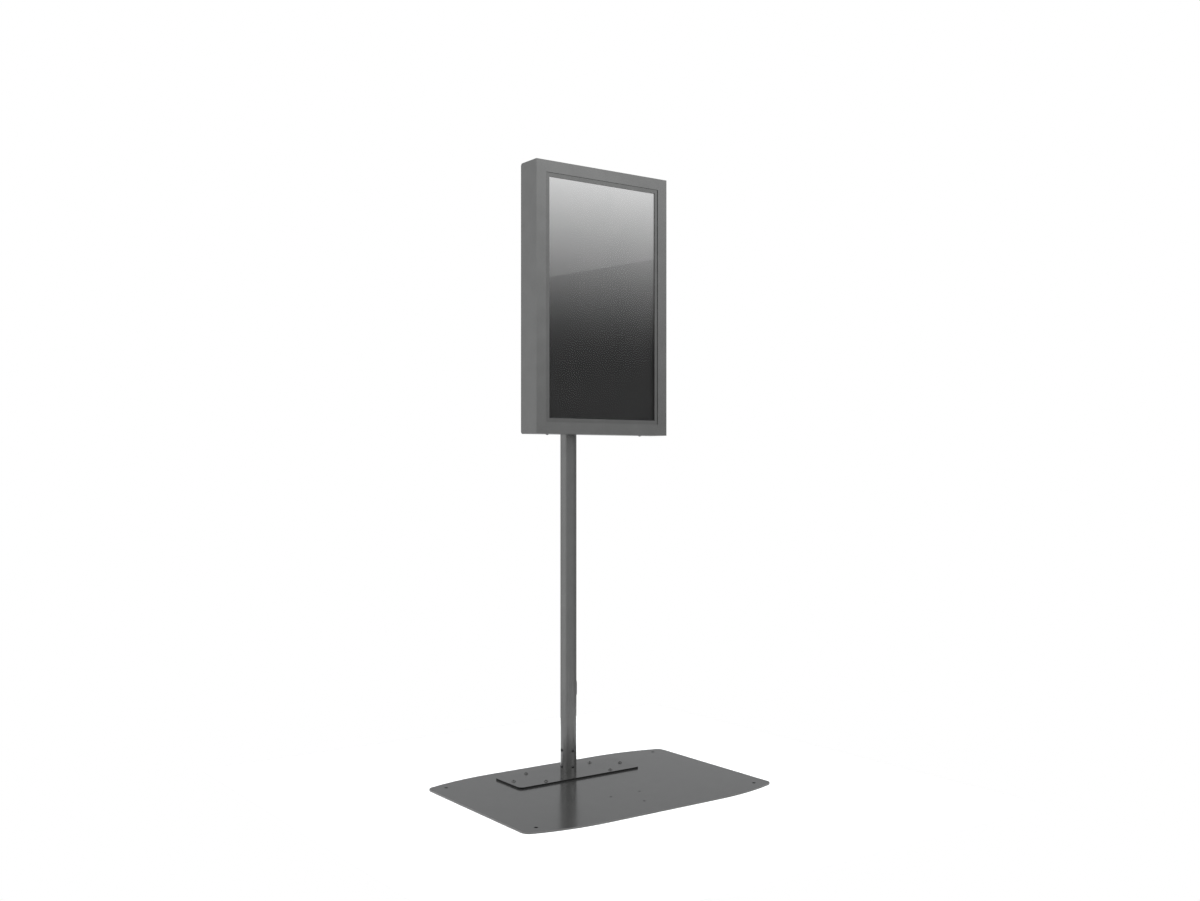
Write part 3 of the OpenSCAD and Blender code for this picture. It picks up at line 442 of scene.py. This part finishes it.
def rating_plate():
    """Blank etched plate above the sockets, with a raised border and two domed pins."""
    centre = Vector((0.128, cover_back, 1.150))
    face = centre + Vector((0, 0.4 * MM, 0))
    border, border_high = 0.8 * MM, 0.3 * MM
    pin = [(1.4 * MM, 0), (1 * MM, 0.5 * MM), (0, 0.7 * MM)]
    shape = bmesh.new()
    block(shape, centre, (52 * MM, 0.8 * MM, 24 * MM), 0.15 * MM)
    for side in (-1, 1):
        across = face + Vector((0, 0, side * 10 * MM))
        upright = face + Vector((side * 24 * MM, 0, 0))
        block(shape, across, (48 * MM, border_high, border), 0.1 * MM)
        block(shape, upright, (border, border_high, 20.8 * MM), 0.1 * MM)
        turned(shape, face + Vector((side * 21 * MM, 0, 0)), (0, 1, 0), pin)
    piece("rating_plate", shape, "housing", "bright_steel")


cable_ties()
signal_plugs()
hinge_rivets()
power_symbol()
rating_plate()


# ---------- studio ----------


FLOOR_HALF = 0.9


def studio_floor():
    """Plain white floor round the base; past it the backdrop is as white."""
    sheet = bmesh.new()
    bmesh.ops.create_grid(sheet, x_segments=1, y_segments=1, size=FLOOR_HALF)
    mesh = bpy.data.meshes.new("studio_floor")
    sheet.to_mesh(mesh)
    sheet.free()
    floor = bpy.data.objects.new("studio_floor", mesh)
    scene.collection.objects.link(floor)
    white, _, shader = finish_of("studio_white")
    shader.inputs["Base Color"].default_value = srgb("#f6f6f6")
    shader.inputs["Roughness"].default_value = 0.9
    shader.inputs["Specular IOR Level"].default_value = 0.0
    mesh.materials.append(white)


# light around the kiosk: direction of each soft lobe, where it begins and is full, and how much it adds
LOBES = [
    ((-0.962, 0.272, 0.05), 0.62, 0.95, 0.60),
    ((0.98, -0.12, 0.00), 0.60, 0.95, -0.28),
    ((0.585, 0.811, -0.10), 0.50, 0.92, -0.52),
    ((0.42, -0.62, 0.66), 0.76, 0.98, 1.95),
    ((-0.75, -0.10, 0.65), 0.95, 0.985, 9.0),
]


def studio_world():
    """White behind the object; what falls on it is soft light, in lobes from the sides and above."""
    world = bpy.data.worlds.new("studio")
    world.use_nodes = True
    tree = world.node_tree
    tree.nodes.clear()
    way = add(tree, "TexCoord").outputs["Generated"]
    total = 1.02
    for aim, begin, full, gain in LOBES:
        near = add(tree, "VectorMath", {0: way, 1: Vector(aim).normalized()}, operation="DOT_PRODUCT")
        lobe = add(
            tree,
            "MapRange",
            {
                "Value": near.outputs["Value"],
                "From Min": begin,
                "From Max": full,
                "To Min": 0.0,
                "To Max": gain,
            },
            interpolation_type="SMOOTHSTEP",
        )
        total = add(tree, "Math", {0: total, 1: lobe.outputs["Result"]}, operation="ADD").outputs[0]
    lit = add(tree, "Background", {"Color": (0.975, 0.985, 1, 1), "Strength": total})
    backdrop = add(tree, "Background", {"Color": (1, 1, 1, 1), "Strength": 1.0})
    seen = add(tree, "LightPath").outputs["Is Camera Ray"]
    both = add(tree, "MixShader", {0: seen, 1: lit.outputs[0], 2: backdrop.outputs[0]})
    add(tree, "OutputWorld", {"Surface": both.outputs[0]})
    scene.world = world


def studio_camera():
    """Eye-level camera in front and to the left of the kiosk."""
    lens = bpy.data.cameras.new("camera")
    lens.sensor_width = 36
    lens.lens = 36.86
    lens.shift_y = 0.0122
    lens.clip_end = 200
    eye = bpy.data.objects.new("camera", lens)
    eye.location = (-2.1517, -2.9790, 0.9625)
    eye.rotation_euler = (math.radians(90), 0, math.radians(-35.783))
    scene.collection.objects.link(eye)
    scene.camera = eye


studio_floor()
studio_world()
studio_camera()
